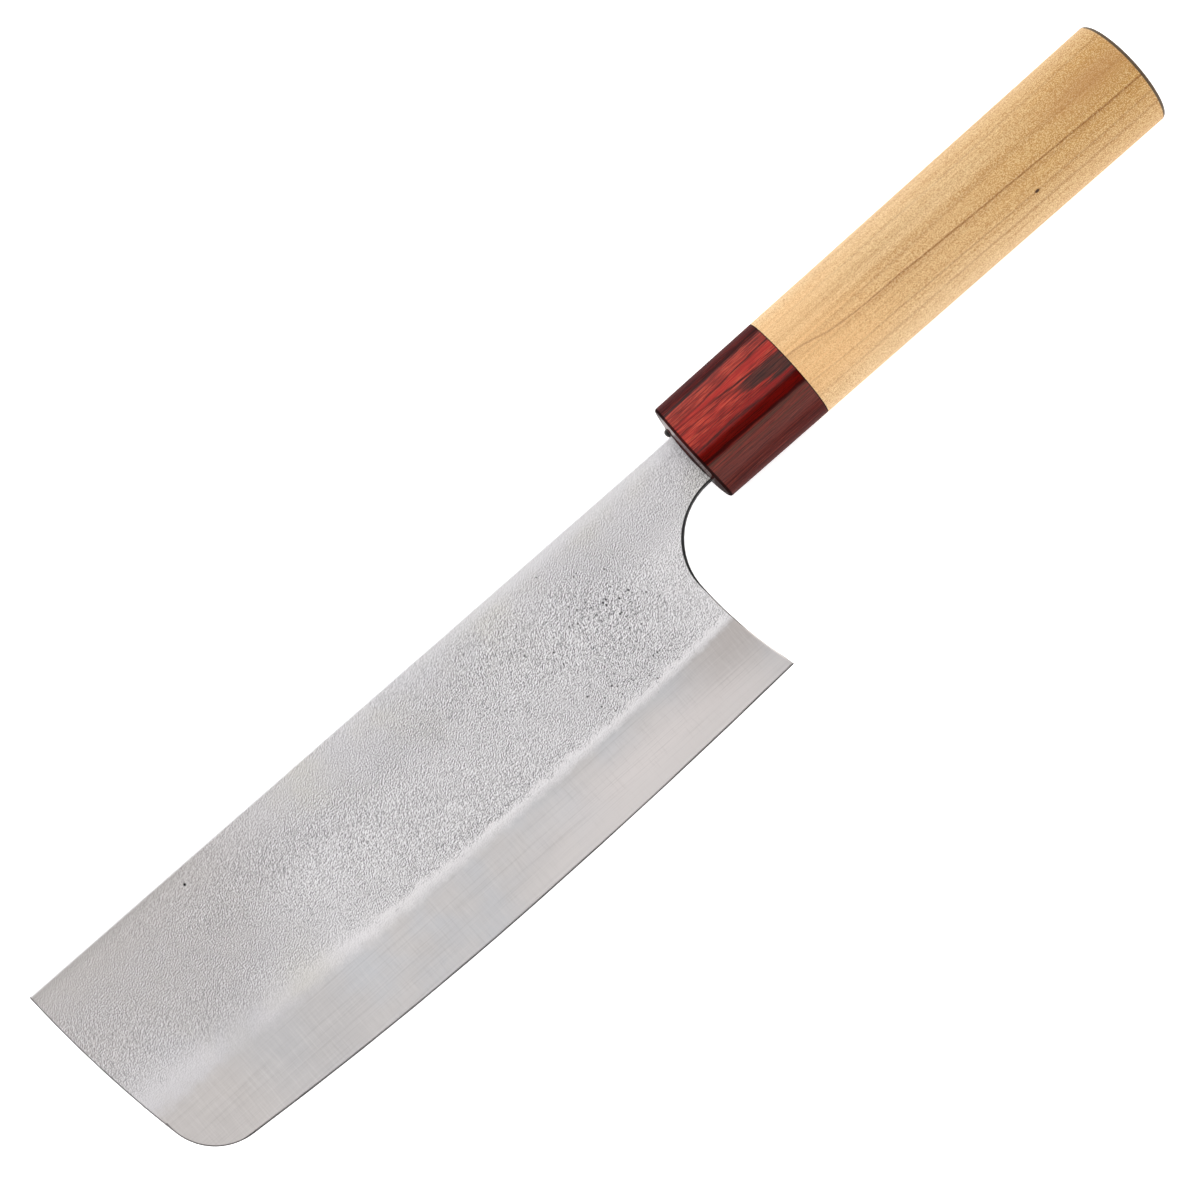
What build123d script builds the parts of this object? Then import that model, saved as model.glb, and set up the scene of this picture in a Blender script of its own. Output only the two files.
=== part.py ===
from build123d import *
import math
import os

# A nakiri: a straight-edged vegetable knife, with a three-layer blade, a hidden tang and an oval handle.
# Lengths are in millimetres. While the pieces are made, x runs from the ferrule's mouth to the butt,
# y from the handle's axis up to the spine, and z across the blade, out of its left side.

# Blade, seen from its side
blade_length = 165.0
spine_over_axis = 5.5
spine_rise = 1.2
tip_lean = 7.9
tip_bow = 1.25
toe_radius = 13.5
toe_rise = 3.9
edge_drop = 48.4
edge_low_share = 0.44
heel_rise = 1.7
heel_overhang = 3.7
choil_radius = 15.4
neck_run = 0.3
neck_drop = 6.9

# Blade, across its thickness
neck_thickness = 3.4
tip_thickness = 1.8
flat_taper = 1.0
core_thickness = 0.95
core_tip_thickness = 0.6
heel_bevel_height = 16.2
bevel_height = 17.2
micro_height = 0.4
micro_thickness = 0.24
edge_thickness = 0.08
spine_easing = 0.3
choil_easing = 0.3

# Tang
butt_wall = 34.0
tang_top_fall = 3.0
tang_foot_rise = 2.9
tang_end_thickness = 2.6

# Ferrule
ferrule_length = 28.0
ferrule_wall = 3.1
ferrule_side_wall = 3.25
front_wall = 6.0
face_dome_radius = 60.0
face_rim_radius = 0.7

# Grip
handle_length = 121.5
height_flare = 1.4
thickness_flare = 1.2
tenon_wall = 1.7
tenon_side_wall = 3.4
tenon_fit = 0.05
shoulder_gap = 0.2
butt_dome_radius = 140.0
butt_rim_radius = 0.9

# Resin
bedding_gap = 0.4
slot_headroom = 2.3
seal_depth = 1.5
bead_clearance = 0.1
bead_proud = 0.7
bead_easing = 0.7

overrun = 1.0

# Places that follow from these sizes
neck_half = neck_thickness / 2
tip_half = tip_thickness / 2
core_half = core_thickness / 2
core_tip_half = core_tip_thickness / 2
micro_half = micro_thickness / 2
edge_half = edge_thickness / 2
stock_half = neck_half + overrun
throat_x = -neck_run - choil_radius
throat_y = -neck_drop - choil_radius
heel_x = throat_x + heel_overhang
heel_y = -edge_drop + heel_rise
low_x = heel_x - edge_low_share * blade_length
low_y = -edge_drop
tip_x = heel_x - blade_length
tip_y = spine_over_axis + spine_rise
toe_x = tip_x + tip_lean
toe_y = -edge_drop + toe_rise
belly_radius = ((low_x - toe_x) ** 2 + toe_rise ** 2) / (2 * toe_rise)
belly_end_y = low_y + belly_radius - math.sqrt(belly_radius ** 2 - (low_x - tip_x) ** 2)
blade_depth = spine_over_axis + edge_drop
tang_length = handle_length - butt_wall
cavity_half = neck_half + bedding_gap
tenon_length = ferrule_length - front_wall - shoulder_gap
tenon_half_height = neck_drop + bedding_gap + tenon_wall
tenon_half_thickness = cavity_half + tenon_side_wall
mouth_half_height = tenon_half_height + ferrule_wall
mouth_half_thickness = tenon_half_thickness + ferrule_side_wall


# The blade and its tang, as one outline
def blade_outline():
    low = (low_x, low_y)
    heel = (heel_x, heel_y)
    toe = (toe_x, toe_y)
    throat = (throat_x, throat_y)
    neck_foot = (-neck_run, -neck_drop)
    mouth_top = (0, spine_over_axis)
    mouth_foot = (0, -neck_drop)
    tang_top = (tang_length, spine_over_axis - tang_top_fall)
    tang_foot = (tang_length, -neck_drop + tang_foot_rise)
    border = Curve() + [
        Line(tang_top, mouth_top),
        Line(mouth_top, (tip_x, tip_y)),
        SagittaArc((tip_x, tip_y), toe, -tip_bow),
        TangentArc(low, toe, tangent=(-1, 0)),
        TangentArc(low, heel, tangent=(1, 0)),
        TangentArc(throat, heel, tangent=(0, -1)),
        TangentArc(neck_foot, throat, tangent=(-1, 0)),
        Line(neck_foot, mouth_foot),
        Line(mouth_foot, tang_foot),
        Line(tang_foot, tang_top),
    ]
    outline = make_face(border)
    corner = outline.vertices().sort_by_distance((toe_x, toe_y, 0))[0]
    return fillet(corner, toe_radius)


# Half the thickness that the flat of the blade has at a place, before the bevel is ground
def flat_half(x, y):
    lost_to_tip = (neck_half - tip_half) * x / tip_x
    lost_to_edge = flat_taper / 2 * (spine_over_axis - y) / blade_depth
    return neck_half - lost_to_tip - lost_to_edge


# The flat of the blade is a plane that thins toward the tip and toward the edge
def flat_plane():
    at_neck = Vector(0, spine_over_axis, neck_half)
    at_tip = Vector(tip_x, spine_over_axis, flat_half(tip_x, spine_over_axis))
    at_foot = Vector(0, -edge_drop, flat_half(0, -edge_drop))
    return Plane(origin=at_neck, x_dir=at_neck - at_tip, z_dir=(at_foot - at_neck).cross(at_neck - at_tip))


# The corner between the spine and the flat is taken off by a plane
def spine_plane():
    at_neck = Vector(0, spine_over_axis - spine_easing, neck_half)
    at_tip = Vector(tip_x, tip_y - spine_easing, tip_half)
    at_top = Vector(0, spine_over_axis, neck_half - spine_easing)
    return Plane(origin=at_neck, x_dir=at_neck - at_tip, z_dir=(at_neck - at_tip).cross(at_top - at_neck))


# The side of the tang is a plane that takes over from the flat at the ferrule's mouth and thins toward the butt
def tang_plane():
    at_mouth = Vector(0, spine_over_axis, neck_half)
    at_foot = Vector(0, -neck_drop, flat_half(0, -neck_drop))
    at_end = Vector(tang_length, spine_over_axis, tang_end_thickness / 2)
    return Plane(origin=at_mouth, x_dir=at_end - at_mouth, z_dir=(at_end - at_mouth).cross(at_mouth - at_foot))


# What grinding leaves of the blade at one distance from its middle plane, run on past the heel and the tip
def ground_section(level, heel_lift, low_lift, tip_lift):
    far_left = tip_x - blade_length
    far_right = tang_length + blade_length
    far_top = blade_length
    heel = (heel_x, heel_y + heel_lift)
    low = (low_x, low_y + low_lift)
    end = (tip_x, belly_end_y + tip_lift)
    climb = (tip_lift - heel_lift) / (heel_x - tip_x)
    border = Curve() + [
        Line((far_right, heel[1]), heel),
        TangentArc(low, heel, tangent=(1, -climb)),
        TangentArc(low, end, tangent=(-1, climb)),
        Line(end, (far_left, end[1])),
        Line((far_left, end[1]), (far_left, far_top)),
        Line((far_left, far_top), (far_right, far_top)),
        Line((far_right, far_top), (far_right, heel[1])),
    ]
    return Pos(0, 0, level) * make_face(border)


# How far above the edge a bevel of this height would meet the outside of the stock
def stock_lift(x, edge_y, height):
    run = (stock_half - micro_half) / (flat_half(x, edge_y + height) - micro_half)
    return micro_height + (height - micro_height) * run


# The bevel, with the small second bevel that is honed along the edge
def ground_half():
    start_lift = -micro_height * edge_half / (micro_half - edge_half)
    middle = ground_section(0, start_lift, start_lift, start_lift)
    honed = ground_section(micro_half, micro_height, micro_height, micro_height)
    outside = ground_section(
        stock_half,
        stock_lift(heel_x, heel_y, heel_bevel_height),
        stock_lift(low_x, low_y, bevel_height),
        stock_lift(tip_x, belly_end_y, bevel_height),
    )
    return loft([middle, honed, outside], ruled=True)


# The left half of the blade and tang, from the middle plane outward
def blade_half():
    half = extrude(blade_outline(), stock_half) & ground_half()
    half = split(half, bisect_by=flat_plane(), keep=Keep.BOTTOM)
    half = split(half, bisect_by=spine_plane(), keep=Keep.BOTTOM)
    choil = half.edges().sort_by_distance((throat_x, throat_y, neck_half))[0]
    half = chamfer(choil, choil_easing)
    return split(half, bisect_by=tang_plane(), keep=Keep.BOTTOM)


# The weld between core and cladding is a plane too, because forging thins every layer toward the tip
def weld_plane():
    at_mouth = Vector(0, 0, core_half)
    at_tip = Vector(tip_x, 0, core_tip_half)
    return Plane(origin=at_mouth, x_dir=at_mouth - at_tip, z_dir=(at_mouth - at_tip).cross(Vector(0, 1, 0)))


half = blade_half()

# Left cladding: soft iron over the core, on the side that faces up here
left_cladding = split(half, bisect_by=weld_plane(), keep=Keep.TOP)

# Right cladding: the same layer on the other side
right_cladding = mirror(left_cladding, about=Plane.XY)

# Core: the hard steel between the claddings, bare along the edge where the bevel cuts through to it
core_side = split(half, bisect_by=weld_plane(), keep=Keep.BOTTOM)
core_steel = core_side + mirror(core_side, about=Plane.XY)
blade = half + mirror(half, about=Plane.XY)


# The hollow that holds the tang: a slot through the ferrule's front wall, then a tapering slot in the wood
def tang_hollow():
    slot_top = spine_over_axis + slot_headroom
    slot_foot = -neck_drop - bedding_gap
    slot = make_face(Polyline(
        (-overrun, slot_top),
        (front_wall, slot_top),
        (front_wall, slot_foot),
        (-overrun, slot_foot),
        close=True,
    ))
    taper = make_face(Polyline(
        (-overrun, spine_over_axis + bedding_gap),
        (tang_length + bedding_gap, spine_over_axis - tang_top_fall + bedding_gap),
        (tang_length + bedding_gap, -neck_drop + tang_foot_rise - bedding_gap),
        (-overrun, slot_foot),
        close=True,
    ))
    return extrude(slot + taper, cavity_half, both=True)


# The handle's oval at a distance from the ferrule's mouth
def handle_oval(x):
    along = x / handle_length
    half_height = mouth_half_height + height_flare / 2 * along
    half_thickness = mouth_half_thickness + thickness_flare / 2 * along
    across = Plane(origin=(x, 0, 0), x_dir=(0, 1, 0), z_dir=(1, 0, 0))
    return across * Ellipse(half_height, half_thickness)


# A straight oval from one distance to another, for the tenon and its bore
def tenon_oval(start, end, fit):
    across = Plane(origin=(start, 0, 0), x_dir=(0, 1, 0), z_dir=(1, 0, 0))
    return extrude(across * Ellipse(tenon_half_height + fit, tenon_half_thickness + fit), end - start)


hollow = tang_hollow()
face_dome = Pos(face_dome_radius, 0, 0) * Sphere(face_dome_radius)

# Ferrule: a block of dyed, resin-filled laminated wood with a slightly domed front and an eased rim
ferrule_block = loft([handle_oval(0), handle_oval(ferrule_length)], ruled=True) & face_dome
ferrule_rim = ferrule_block.edges().group_by(Axis.X)[0]
ferrule_block = fillet(ferrule_rim, face_rim_radius)
ferrule = ferrule_block - tenon_oval(front_wall, ferrule_length + overrun, tenon_fit) - hollow

# Grip: one piece of pale wood, turned down to a tenon that fills the ferrule
butt_dome = Pos(handle_length - butt_dome_radius, 0, 0) * Sphere(butt_dome_radius)
grip_block = loft([handle_oval(ferrule_length), handle_oval(handle_length)], ruled=True) & butt_dome
grip_rim = grip_block.edges().group_by(Axis.X)[-1]
grip_block = fillet(grip_rim, butt_rim_radius)
grip = grip_block + tenon_oval(ferrule_length - tenon_length, ferrule_length, 0) - hollow

# Tang bedding: resin that fills the hollow round the tang
tang_bedding = split(hollow, bisect_by=Plane.YZ.offset(seal_depth), keep=Keep.TOP) - blade

# Mouth seal: dark resin that closes the slot flush with the ferrule's face, with a bead left over the spine
slot_height = neck_drop + bedding_gap + spine_over_axis + slot_headroom
plug = Box(seal_depth + overrun, slot_height, 2 * cavity_half, align=(Align.MAX, Align.MAX, Align.CENTER))
plug = Pos(seal_depth, spine_over_axis + slot_headroom, 0) * plug - blade
bead_face = Plane(origin=(-bead_proud, spine_over_axis + slot_headroom / 2, 0), x_dir=(0, 1, 0), z_dir=(1, 0, 0))
bead = extrude(bead_face * Circle(slot_headroom / 2 - bead_clearance), seal_depth)
bead = fillet(bead.edges().group_by(Axis.X)[0], bead_easing)
mouth_seal = (plug & face_dome) + bead

pieces = {
    "core_steel": core_steel,
    "left_cladding": left_cladding,
    "right_cladding": right_cladding,
    "ferrule": ferrule,
    "grip": grip,
    "tang_bedding": tang_bedding,
    "mouth_seal": mouth_seal,
}

# The knife lies level on its right side: the origin is under the middle of its box, where it meets the table
whole = Compound(list(pieces.values())).bounding_box()
seat = Pos(-whole.center().X, -whole.center().Y, -whole.min.Z)

os.makedirs("parts", exist_ok=True)
for name, piece in pieces.items():
    export_step(seat * piece, f"parts/{name}.step")

print("overall", whole.size)
print("ferrule mouth on the handle's axis sits at", (seat * Vertex(0, 0, 0)).center())
print("handle section at the mouth", mouth_half_height * 2, mouth_half_thickness * 2)
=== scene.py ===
import bpy
import math
from mathutils import Matrix, Vector


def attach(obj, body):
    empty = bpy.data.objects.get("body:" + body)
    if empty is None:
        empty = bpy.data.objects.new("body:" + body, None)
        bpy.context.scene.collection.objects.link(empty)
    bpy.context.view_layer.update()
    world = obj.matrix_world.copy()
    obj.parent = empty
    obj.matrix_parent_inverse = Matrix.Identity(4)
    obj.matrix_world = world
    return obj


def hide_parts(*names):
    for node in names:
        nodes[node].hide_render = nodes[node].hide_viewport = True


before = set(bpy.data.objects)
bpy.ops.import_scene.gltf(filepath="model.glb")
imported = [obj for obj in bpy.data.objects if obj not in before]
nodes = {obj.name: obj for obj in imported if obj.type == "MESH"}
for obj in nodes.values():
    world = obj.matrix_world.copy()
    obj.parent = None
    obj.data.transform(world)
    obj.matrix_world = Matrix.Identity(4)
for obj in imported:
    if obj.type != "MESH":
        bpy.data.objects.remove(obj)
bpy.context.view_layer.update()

# Left cladding: the soft iron layer that faces up, forge-welded to the core.
# Its flat keeps the fine pitted pear-skin of the rolled plate, with larger pits near the handle.
# Below the bevel line it is ground smooth, and painted shade, near-black, duller and less metallic, lies on
# the wall and border of the cut-out and along a line at the heel.
MOUTH = Vector((27.75, 17.8041, 9.34428))
TO_MM = 1000.0
NECK_HALF = 1.7
SPINE_Y = 5.5
FALL_TO_TIP = 0.8 / 177.0
FALL_TO_EDGE = 0.5 / 53.9
CHOIL_CENTRE = (-0.3, -22.3)
CHOIL_RADIUS = 15.4
LIGHT_LEVEL = 1.25


def seen(red, green, blue):
    """The base colour of a surface that has this screen colour, 0 to 255, under the studio's light."""
    screen = [value / 255.0 for value in (red, green, blue)]
    linear = [v / 12.92 if v < 0.04045 else ((v + 0.055) / 1.055) ** 2.4 for v in screen]
    return tuple(v / LIGHT_LEVEL for v in linear) + (1.0,)


def join(tree, value, socket):
    if isinstance(value, bpy.types.NodeSocket):
        tree.links.new(value, socket)
    else:
        socket.default_value = value


def add(tree, kind, inputs=None, **settings):
    made = tree.nodes.new(kind)
    for name, value in settings.items():
        setattr(made, name, value)
    for key, value in (inputs or {}).items():
        join(tree, value, made.inputs[key])
    return made


def calc(tree, operation, *values, clamp=False):
    made = add(tree, "ShaderNodeMath", operation=operation, use_clamp=clamp)
    for socket, value in zip(made.inputs, values):
        join(tree, value, socket)
    return made.outputs[0]


def ease(tree, value, start, end, low=0.0, high=1.0):
    """Goes smoothly from low to high while value goes from start to end."""
    places = {"Value": value, "From Min": start, "From Max": end, "To Min": low, "To Max": high}
    return add(tree, "ShaderNodeMapRange", places, interpolation_type="SMOOTHSTEP").outputs[0]


def mix(tree, share, first, second):
    made = add(tree, "ShaderNodeMix", data_type="RGBA", blend_type="MIX")
    for index, value in ((0, share), (6, first), (7, second)):
        join(tree, value, made.inputs[index])
    return made.outputs[2]


def vector(tree, operation, first, second):
    return add(tree, "ShaderNodeVectorMath", {0: first, 1: second}, operation=operation).outputs[0]


def noise(tree, place, scale, detail, roughness):
    inputs = {"Vector": place, "Scale": scale, "Detail": detail, "Roughness": roughness}
    return add(tree, "ShaderNodeTexNoise", inputs).outputs[0]


def cells(tree, place, scale):
    return add(tree, "ShaderNodeTexVoronoi", {"Vector": place, "Scale": scale})


def product(tree, *values):
    result = values[0]
    for value in values[1:]:
        result = calc(tree, "MULTIPLY", result, value)
    return result


def distance(tree, *offsets):
    """The length of a line with these offsets along the axes."""
    total = 0.0
    for step in offsets:
        total = calc(tree, "MULTIPLY_ADD", step, step, total)
    return calc(tree, "SQRT", total)


def offset(tree, value, start, unit=1.0):
    return calc(tree, "DIVIDE", calc(tree, "SUBTRACT", value, start), unit)


def blob(tree, at, centre, reach):
    """One at a centre in x and y, fading to zero at its reach."""
    dx = offset(tree, at["X"], centre[0], reach[0])
    dy = offset(tree, at["Y"], centre[1], reach[1])
    return ease(tree, distance(tree, dx, dy), 1.0, 0.0)


def new_group(name, outputs):
    tree = bpy.data.node_groups.new(name, "ShaderNodeTree")
    for label, kind in outputs:
        tree.interface.new_socket(name=label, in_out="OUTPUT", socket_type=kind)
    return tree


def close_group(tree, **results):
    ends = tree.nodes.new("NodeGroupOutput")
    for label, value in results.items():
        join(tree, value, ends.inputs[label])


def use_group(tree, group):
    made = tree.nodes.new("ShaderNodeGroup")
    made.node_tree = group
    return made.outputs


def new_material(name):
    made = bpy.data.materials.new(name)
    made.use_nodes = True
    return made, made.node_tree, made.node_tree.nodes["Principled BSDF"]


def dress(piece, material):
    for place in piece.material_slots:
        place.material = material


NUMBER = "NodeSocketFloat"
COLOUR = "NodeSocketColor"
PLACE = "NodeSocketVector"

# Where a point is on the knife, in millimetres from the ferrule's mouth on the handle's axis
place_group = new_group("place_on_knife", [("Place", PLACE), ("X", NUMBER), ("Y", NUMBER), ("Z", NUMBER)])
coordinates = add(place_group, "ShaderNodeTexCoord").outputs["Object"]
in_mm = vector(place_group, "MULTIPLY", coordinates, (TO_MM, TO_MM, TO_MM))
from_mouth = vector(place_group, "SUBTRACT", in_mm, tuple(MOUTH))
parts = add(place_group, "ShaderNodeSeparateXYZ", {0: from_mouth}).outputs
close_group(place_group, Place=from_mouth, X=parts[0], Y=parts[1], Z=parts[2])

# How the blade was worked at a point: masks for each kind of surface, and heights that the looks follow
TIP_CENTRE = (91.58, 21.93)
TIP_RADIUS = 269.01
TIP_BORDER = (TIP_RADIUS - 0.36, TIP_RADIUS - 0.2)
TOE_CENTRE = (-158.2, -31.9)
TOE_RADIUS = 13.5
TOE_BORDER = (TOE_RADIUS - 0.36, TOE_RADIUS - 0.2)
HEEL_CENTRE = (66.6, -22.3)
HEEL_RADIUS = 82.3
HEEL_LINE = (HEEL_RADIUS + 0.26, HEEL_RADIUS + 0.16)
HEEL_LINE_FOOT = (-36.0, -32.0)
HEEL_LINE_TOP = (-22.0, -24.0)
CUT_BORDER = (CHOIL_RADIUS + 0.05, CHOIL_RADIUS - 0.05)
CUT_MIDDLE = -15.0
CUT_TAPER = (9.0, 2.0)
CUT_WIDTH = (0.26, 0.54)
CUT_FOOT = (-27.5, -24.0)
DARK_WALL_FOOT = (-38.0, -30.0)
WALL_LEAN = (0.62, 0.4)
HANDLE_SIDE = -40.0
SPINE_RISE = 1.2 / 177.0
BEVEL_WIDTH = (-20.0, -23.0)
BEVEL_DEPTH = (0.01, 0.11)
BEVEL_WOBBLE = 0.10
HONED_HALF = (0.09, 0.075)
SECOND_BEVEL_HALF = 0.12
HEEL_X = -15.3
BOW_END_X = -84.6
BEVEL_TOP = -30.7
BEVEL_TOP_SLOPE = 0.0072
BEVEL_TOP_BOW = 0.000347
CLEAR_WOBBLE = 5.0
CLEAR_LENGTH = (-90.0, -150.0)
CLEAR_REACH = (1.8, 8.0)
WORK_NAMES = ("Bevel", "Wall", "Scale", "Honed", "Rise", "Clear", "Crown", "Rim")
worked_group = new_group("blade_work", [(label, NUMBER) for label in WORK_NAMES])
t = worked_group
at = use_group(t, place_group)
height = calc(t, "ABSOLUTE", at["Z"])
lost = calc(t, "MULTIPLY_ADD", calc(t, "SUBTRACT", SPINE_Y, at["Y"]), -FALL_TO_EDGE, NECK_HALF)
flat = calc(t, "MULTIPLY_ADD", at["X"], FALL_TO_TIP, lost)
depth = calc(t, "SUBTRACT", flat, height)
wobble = calc(t, "SUBTRACT", noise(t, at["Place"], 0.6, 3.0, 0.6), 0.5)
low = ease(t, at["Y"], *BEVEL_WIDTH)
bevel = product(t, ease(t, calc(t, "MULTIPLY_ADD", wobble, BEVEL_WOBBLE, depth), *BEVEL_DEPTH), low)
facing = add(t, "ShaderNodeNewGeometry").outputs["True Normal"]
upright = calc(t, "ABSOLUTE", add(t, "ShaderNodeSeparateXYZ", {0: facing}).outputs[2])
wall = ease(t, upright, *WALL_LEAN)
by_handle = calc(t, "GREATER_THAN", at["X"], HANDLE_SIDE)
arc = distance(t, offset(t, at["X"], CHOIL_CENTRE[0]), offset(t, at["Y"], CHOIL_CENTRE[1]))
from_middle = calc(t, "ABSOLUTE", offset(t, at["Y"], CUT_MIDDLE))
border = calc(t, "SUBTRACT", arc, ease(t, from_middle, *CUT_TAPER, *CUT_WIDTH))
cut_out = product(t, ease(t, border, *CUT_BORDER), ease(t, at["Y"], *CUT_FOOT), by_handle)
heel_far = distance(t, offset(t, at["X"], HEEL_CENTRE[0]), offset(t, at["Y"], HEEL_CENTRE[1]))
heel_line = product(t, ease(t, heel_far, *HEEL_LINE), ease(t, at["Y"], *HEEL_LINE_FOOT),
                    ease(t, at["Y"], *HEEL_LINE_TOP), by_handle)
under_axis = calc(t, "LESS_THAN", at["Y"], 0.0)
by_wall = product(t, wall, by_handle, ease(t, at["Y"], *DARK_WALL_FOOT), under_axis)
# Scale: where painted shade, near-black, lies on the cut-out's border and walls and along a line at the
# heel.
scale = calc(t, "MAXIMUM", calc(t, "MAXIMUM", cut_out, by_wall), product(t, heel_line, 0.8))
honed = product(t, ease(t, height, *HONED_HALF), low)
above_second = calc(t, "SUBTRACT", height, SECOND_BEVEL_HALF)
rise = calc(t, "DIVIDE", above_second, calc(t, "SUBTRACT", flat, SECOND_BEVEL_HALF), clamp=True)
from_heel = offset(t, at["X"], HEEL_X)
bow = product(t, from_heel, offset(t, at["X"], BOW_END_X))
bevel_top = calc(t, "MULTIPLY_ADD", from_heel, BEVEL_TOP_SLOPE, BEVEL_TOP)
bevel_top = calc(t, "MULTIPLY_ADD", bow, BEVEL_TOP_BOW, bevel_top)
above = calc(t, "MULTIPLY_ADD", wobble, CLEAR_WOBBLE, calc(t, "SUBTRACT", at["Y"], bevel_top))
clear = ease(t, calc(t, "DIVIDE", above, ease(t, at["X"], *CLEAR_LENGTH, *CLEAR_REACH)), 0.0, 1.0)
drop = calc(t, "SUBTRACT", calc(t, "MULTIPLY_ADD", at["X"], -SPINE_RISE, SPINE_Y), at["Y"])
tip_far = distance(t, offset(t, at["X"], TIP_CENTRE[0]), offset(t, at["Y"], TIP_CENTRE[1]))
toe_far = distance(t, offset(t, at["X"], TOE_CENTRE[0]), offset(t, at["Y"], TOE_CENTRE[1]))
before_toe = calc(t, "LESS_THAN", at["X"], TOE_CENTRE[0])
toe_side = product(t, before_toe, calc(t, "LESS_THAN", at["Y"], TOE_CENTRE[1]))
toe_rim = product(t, ease(t, toe_far, *TOE_BORDER), toe_side)
rim = calc(t, "MAXIMUM", ease(t, tip_far, *TIP_BORDER), toe_rim)
close_group(t, Bevel=bevel, Wall=wall, Scale=scale, Honed=honed, Rise=rise, Clear=clear, Crown=drop,
            Rim=rim)

# Pear-skin: close grains with painted light on one side and painted shade on the other, small hollows, and
# broad warm and cool clouds
GRAIN_SCALE = 3.3
GRAIN_STEP = (0.065, -0.075, 0.0)
PALE_GRAIN_AND_HIGHLIGHT = seen(255, 253, 255)
HOLLOW_SCALE = 2.8
HOLLOW_SHIFT = (57.0, 33.0, 11.0)
COOL_SHIFT = (310.0, 120.0, 40.0)
CALM_TIP = (-165.0, -75.0)
CALM_NECK = (-14.0, -32.0)
CALM_SPINE = (5.0, -6.0)
CALM_FOOT = (-16.0, -26.0)
DARK_TIP_LENGTH = (-100.0, -138.0)
DARK_TIP_WIDTH = (-26.0, -12.0)
SHADED_CORNER = ((-147.0, -19.0), (17.0, 13.0))
LIT_EDGE_LENGTH = (-136.0, -112.0)
LIT_EDGE_WIDTH = (-6.0, -14.0)
LIT_HEEL = ((-52.0, -12.0), (28.0, 20.0))
SPINE_SHEEN_LENGTH = (-110.0, -45.0)
SPINE_SHEEN_WIDTH = (4.0, 0.5)
TIP_SPINE_LENGTH = (-125.0, -148.0)
TIP_SPINE_WIDTH = (3.0, 0.5)
GLINT_WIDTH = (0.55, 0.25)
PIT_FIELDS = [((-34.0, -9.5), (19.0, 14.0)), ((-33.0, -13.0), (10.0, 9.0)), ((-38.0, -25.0), (16.0, 9.0))]


def pit_field(tree, at):
    """How thickly a place is pitted, from zero to about two."""
    total = 0.0
    for centre, reach in PIT_FIELDS:
        total = calc(tree, "ADD", total, blob(tree, at, centre, reach))
    return total


skin_group = new_group("pear_skin", [("Tone", COLOUR), ("Roughness", NUMBER), ("Height", NUMBER)])
t = skin_group
at = use_group(t, place_group)
work = use_group(t, worked_group)
grains = noise(t, at["Place"], GRAIN_SCALE, 1.0, 0.6)
beside = noise(t, vector(t, "ADD", at["Place"], GRAIN_STEP), GRAIN_SCALE, 1.0, 0.6)
lit = calc(t, "SUBTRACT", grains, beside)
hollows = noise(t, vector(t, "ADD", at["Place"], HOLLOW_SHIFT), HOLLOW_SCALE, 1.0, 0.65)
mottle = noise(t, at["Place"], 0.35, 3.0, 0.6)
cloud = noise(t, at["Place"], 0.045, 3.0, 0.55)
cool = noise(t, vector(t, "ADD", at["Place"], COOL_SHIFT), 0.06, 2.0, 0.5)
crisp = product(
    t,
    ease(t, at["X"], *CALM_TIP, 0.62, 1.0),
    ease(t, at["X"], *CALM_NECK, 0.65, 1.0),
    ease(t, at["Y"], *CALM_SPINE, 0.5, 1.0),
    ease(t, at["Y"], *CALM_FOOT, 1.0, 0.95),
    ease(t, mottle, 0.35, 0.65, 0.85, 1.05),
    product(t, calc(t, "MULTIPLY_ADD", work["Clear"], 0.85, 0.15), 1.2),
    calc(t, "MULTIPLY_ADD", pit_field(t, at), 0.12, 1.0),
)
tone = mix(t, ease(t, cloud, 0.42, 0.66, 0.0, 0.6), seen(226, 223, 225), seen(222, 218, 206))
tone = mix(t, ease(t, cool, 0.50, 0.70, 0.0, 0.35), tone, seen(202, 203, 210))
# Painted shade toward the tip and at a corner near it.
tip_shade = product(t, ease(t, at["X"], *DARK_TIP_LENGTH), ease(t, at["Y"], *DARK_TIP_WIDTH), 0.85)
tone = mix(t, tip_shade, tone, seen(196, 190, 187))
tone = mix(t, product(t, blob(t, at, *SHADED_CORNER), 0.6), tone, seen(190, 184, 182))
# Painted light on the flat toward the edge and near the heel.
painted_light_to_edge = product(t, ease(t, at["Y"], *LIT_EDGE_WIDTH), ease(t, at["X"], *LIT_EDGE_LENGTH, 0.1, 1.0))
tone = mix(t, product(t, painted_light_to_edge, 0.9), tone, seen(249, 246, 247))
tone = mix(t, product(t, blob(t, at, *LIT_HEEL), 0.6), tone, seen(250, 247, 248))
# Painted light and painted shade on the grains' two sides; pale grains below share the highlight's colour.
tone = mix(t, product(t, ease(t, lit, 0.018, 0.078), crisp, 0.85), tone, seen(100, 97, 100))
tone = mix(t, product(t, ease(t, lit, 0.0, -0.075), crisp, 0.85), tone, PALE_GRAIN_AND_HIGHLIGHT)
tone = mix(t, product(t, ease(t, grains, 0.50, 0.62), crisp, 0.35), tone, seen(140, 137, 140))
tone = mix(t, product(t, ease(t, grains, 0.48, 0.36), crisp, 0.5), tone, PALE_GRAIN_AND_HIGHLIGHT)
tone = mix(t, product(t, ease(t, hollows, 0.57, 0.67), crisp, 0.5), tone, seen(98, 95, 98))
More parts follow.
